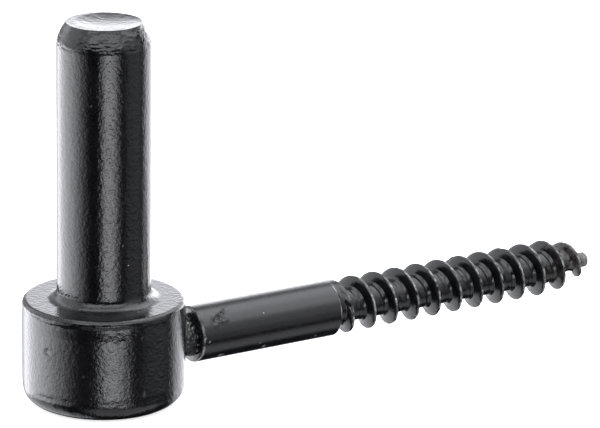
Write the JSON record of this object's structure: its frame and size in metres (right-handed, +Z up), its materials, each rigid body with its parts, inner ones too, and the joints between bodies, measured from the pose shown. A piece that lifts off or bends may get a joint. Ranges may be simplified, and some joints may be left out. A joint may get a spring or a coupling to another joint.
{
  "type": "gate hinge pin",
  "caption": "Upright round pin on a thick collar, welded side-on to a coarse wood screw, that carries a gate's hinge eye on a timber post.",
  "frame": {"origin": "centre of the collar's flat underside", "axes": "+Z up the pin, +X along the screw from the collar to its tip"},
  "size_m": [0.116, 0.0278, 0.0661],
  "materials": {
    "pin_coat": "black semi-gloss coat with a fine orange-peel surface",
    "screw_coat": "black satin coat, worn to bare metal along the thread's crest",
    "weld_coat": "black coat over rough weld metal"
  },
  "bodies": {
    "root": {"pin_and_collar": "pin_coat", "wood_screw": "screw_coat", "weld_neck": "weld_coat"}
  },
  "joints": []
}
